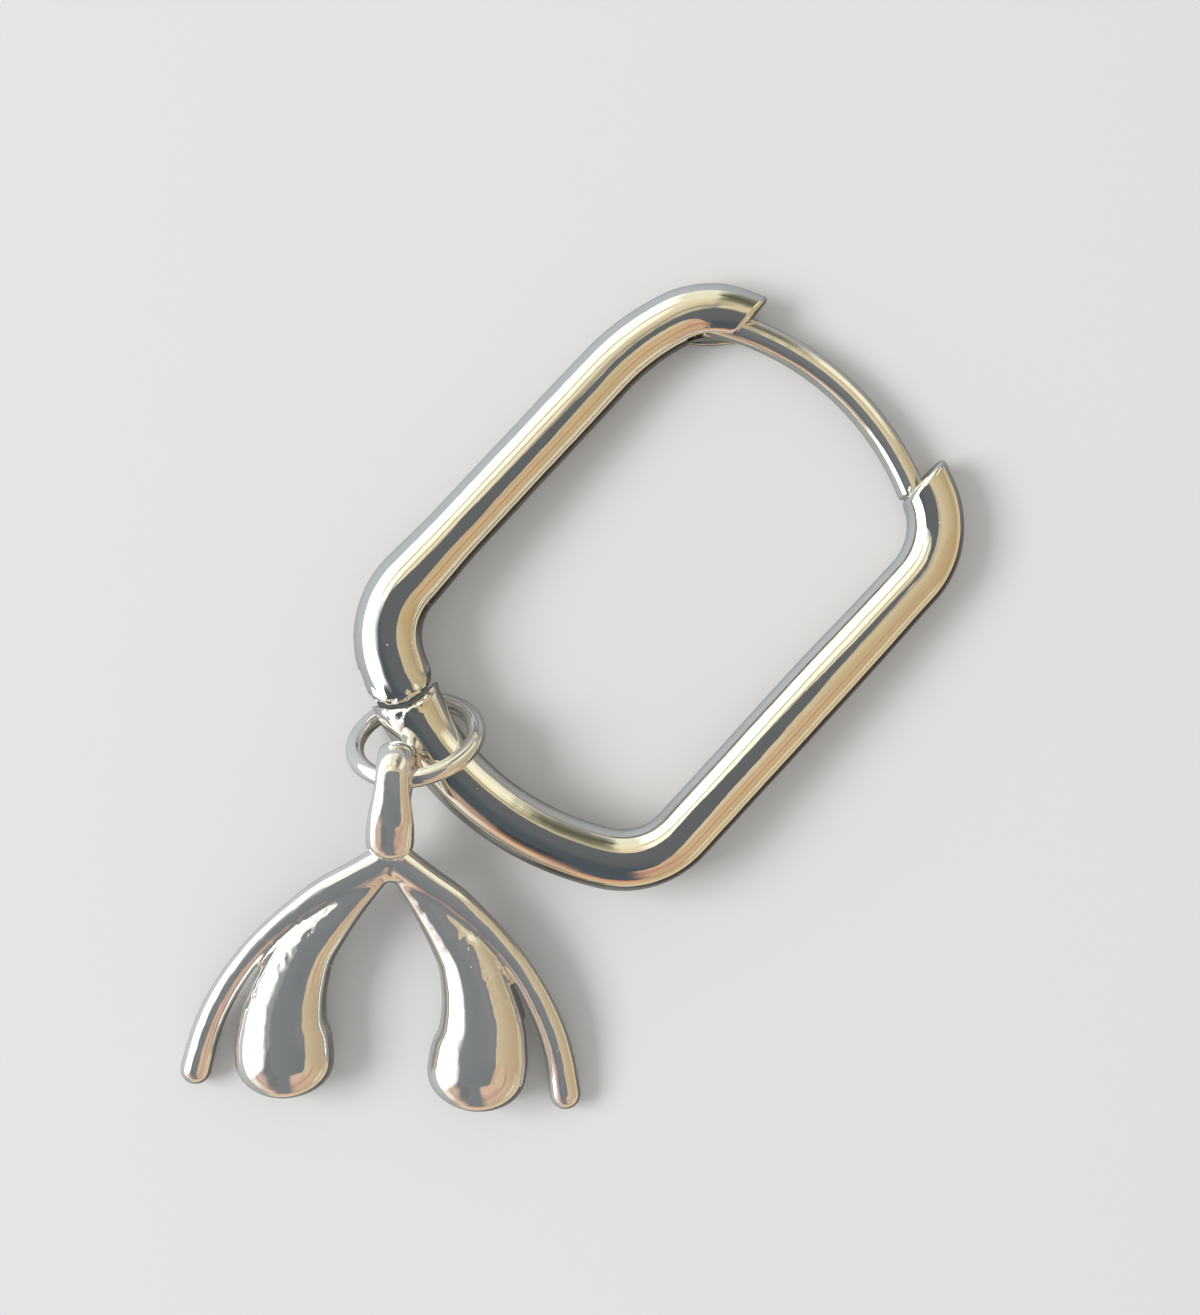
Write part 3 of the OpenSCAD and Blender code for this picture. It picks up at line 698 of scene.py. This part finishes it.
# what the silver sees, by direction in the picture: 0 right, 90 up, 180 left, 270 down
surroundings = [
    (317, stops((0, 96, 98, 99, 1), (11, 92, 90, 88, 1), (16, 225, 214, 188, 1), (30, 216, 199, 166, 1),
                (37, 212, 192, 152, 1), (40, 204, 148, 120, 1), (45, 206, 184, 142, 1), (55, 204, 180, 138, 1),
                (59, 186, 124, 96, 1), (64, 206, 182, 140, 1), (80, 192, 168, 126, 1), (86, 238, 226, 200, 1))),
    (345, stops((0, 96, 98, 99, 1), (10, 120, 114, 104, 1), (18, 214, 194, 158, 1), (45, 196, 174, 132, 1),
                (88, 184, 158, 118, 1))),
    (25, stops((0, 96, 98, 99, 1), (10, 130, 124, 112, 1), (20, 214, 198, 164, 1), (60, 196, 178, 138, 1),
               (88, 176, 158, 124, 1))),
    (47, stops((0, 92, 94, 95, 1), (8, 90, 92, 88, 1), (14, 220, 208, 176, 1), (34, 214, 196, 156, 1),
               (44, 172, 158, 128, 1), (48, 240, 232, 198, 1.1), (66, 250, 244, 214, 1.1), (88, 236, 228, 200, 1))),
    (69, stops((0, 98, 100, 101, 1), (14, 150, 144, 124, 1), (34, 190, 180, 148, 1), (48, 120, 116, 92, 1),
               (62, 84, 84, 68, 1), (76, 120, 116, 100, 1), (88, 150, 146, 132, 1))),
    (84, stops((0, 98, 100, 101, 1), (14, 176, 166, 142, 1), (26, 226, 208, 176, 1), (44, 236, 222, 186, 1),
               (56, 244, 238, 206, 1), (70, 240, 236, 206, 1), (88, 246, 244, 226, 1))),
    (118, stops((0, 98, 100, 101, 1), (8, 118, 118, 116, 1), (14, 236, 222, 192, 1), (24, 242, 228, 196, 1.1),
                (29, 178, 168, 136, 1), (33, 250, 246, 222, 1.3), (48, 244, 238, 210, 1.2), (51, 124, 126, 98, 1),
                (54, 252, 250, 228, 1.4), (88, 254, 252, 238, 1.5))),
    (139, stops((0, 98, 100, 101, 1), (6, 128, 128, 126, 1), (13, 236, 230, 208, 1), (24, 246, 238, 212, 1.15),
                (29, 170, 168, 142, 1), (33, 252, 250, 230, 1.4), (46, 250, 248, 228, 1.3), (49, 118, 122, 102, 1),
                (52, 252, 250, 232, 1.5), (88, 255, 255, 248, 1.6))),
    (163, stops((0, 98, 100, 101, 1), (20, 112, 114, 118, 1), (33, 150, 152, 158, 1), (42, 236, 238, 240, 1.2),
                (50, 255, 255, 255, 1.9), (88, 255, 255, 255, 1.9))),
    (197, stops((0, 98, 100, 101, 1), (20, 108, 111, 116, 1), (36, 118, 122, 128, 1), (42, 250, 250, 250, 1.4),
                (50, 255, 255, 255, 1.9), (88, 255, 255, 255, 1.9))),
    (228, stops((0, 60, 66, 69, 1), (20, 52, 60, 65, 1), (43, 46, 55, 60, 1), (50, 158, 128, 116, 1),
                (58, 196, 172, 160, 1), (66, 188, 140, 110, 1), (74, 232, 220, 204, 1.1), (88, 236, 228, 214, 1.1))),
    (240, stops((0, 60, 66, 69, 1), (14, 50, 58, 62, 1), (54, 44, 53, 58, 1), (62, 120, 96, 84, 1),
                (70, 196, 140, 108, 1), (78, 224, 196, 168, 1), (88, 206, 176, 150, 1))),
    (263, stops((0, 66, 77, 85, 1), (30, 66, 77, 85, 1), (76, 70, 80, 87, 1), (81, 206, 146, 108, 1),
                (88, 226, 172, 136, 1))),
    (303, stops((0, 92, 94, 94, 1), (10, 110, 104, 96, 1), (17, 228, 196, 170, 1), (30, 210, 156, 130, 1),
                (44, 214, 178, 146, 1), (56, 190, 134, 108, 1), (66, 204, 172, 136, 1), (88, 190, 156, 124, 1))),
]

world = bpy.data.worlds.new("studio")
bpy.context.scene.world = world
start = emptyTree(world)
gaze = start.node("ShaderNodeTexCoord", output=0)
east, north, up = gaze.parts()
acrossPicture = east * studio["right"][0] + north * studio["right"][1]
upPicture = north * studio["right"][0] - east * studio["right"][1]
compass = upPicture.maths("ARCTAN2", upPicture, acrossPicture) * (180 / math.pi)
compass = (compass + 360).maths("MODULO", compass + 360, 360.0)
waver = start.node("ShaderNodeTexNoise", {}, {"Vector": gaze, "Scale": studio["waverScale"], "Detail": 3.0}) - 0.5
fromZenith = up.maths("ARCCOSINE", up.maths("MINIMUM", up, 0.99999)) / math.pi + waver * studio["waver"]
compass = compass + waver * studio["waver"] * 360
ordered = sorted(surroundings)
sky = fromZenith.ramp(ordered[-1][1])
edges = [(low - 360 * (low > high) + high) / 2 for (low, _), (high, _) in zip([ordered[-1]] + ordered, ordered)]
for edge, (_, rows) in zip(edges, ordered):
    sector = compass.step(edge - studio["softness"], edge + studio["softness"])
    sky = sector.blend(sky, fromZenith.ramp(rows))
seen, glossy = (start.node("ShaderNodeLightPath", output=index) for index in (0, 3))
light = (studio["fill"],) * 3 + (1,)
colour = seen.blend(glossy.blend(light, sky), studio["backdrop"])
start.node("ShaderNodeBackground", {}, {"Color": colour, "Strength": 1.0}).finish("ShaderNodeOutputWorld")

keyData = bpy.data.lights.new("window light", "AREA")
keyData.shape, keyData.energy = "RECTANGLE", studio["keyPower"]
keyData.size, keyData.size_y = studio["keySize"]
key = linked("window light", keyData)
keyFrom = Vector((-studio["right"][0], -studio["right"][1], 0)) * studio["keyOut"]
keyFrom += Vector((0, 0, studio["keyHeight"]))
key.location = keyFrom
key.rotation_euler = (-keyFrom).to_track_quat("-Z", "Y").to_euler()
key.visible_glossy = False

cameraData = bpy.data.cameras.new("camera")
cameraData.sensor_fit = "VERTICAL"
cameraData.sensor_height = 36
cameraData.lens = studio["lens"]
cameraData.clip_start, cameraData.clip_end = 0.01, 20
camera = linked("camera", cameraData)
pictureTurn = Euler((0, 0, math.atan2(studio["right"][1], studio["right"][0]))).to_matrix().to_4x4()
camera.matrix_world = Matrix.Translation(studio["cameraAt"]) @ pictureTurn
bpy.context.scene.camera = camera

left, right, low, high = studio["card"]  # its sides in the picture's own right and up
bm = bmesh.new()
bmesh.ops.create_grid(bm, x_segments=1, y_segments=1, size=0.5)
bmesh.ops.scale(bm, vec=(right - left, high - low, 1), verts=bm.verts)
bmesh.ops.translate(bm, vec=((left + right) / 2, (low + high) / 2, 0), verts=bm.verts)
bmesh.ops.bevel(bm, geom=bm.verts[:], affect="VERTICES", offset=studio["cardRound"], segments=8, profile=0.5,
                material=-1)
cardMesh = bpy.data.meshes.new("grey card")
bm.transform(Matrix.Translation(studio["cardAt"]) @ pictureTurn)
bm.to_mesh(cardMesh)
bm.free()
card = linked("grey card", cardMesh)
cardMaterial = bpy.data.materials.new("greyCard")
start = emptyTree(cardMaterial)
east, north, _ = start.node("ShaderNodeTexCoord", output=3).parts()
share = (east * (studio["right"][0] - studio["right"][1]) + north * sum(studio["right"]) + 0.06) * 10
start.node("ShaderNodeEmission", {}, {"Color": share.ramp(studio["cardTones"])}).finish("ShaderNodeOutputMaterial")
card.data.materials.append(cardMaterial)
card.visible_camera = card.visible_diffuse = card.visible_shadow = False

bpy.context.scene.view_settings.view_transform = "Standard"
print("studio is set")
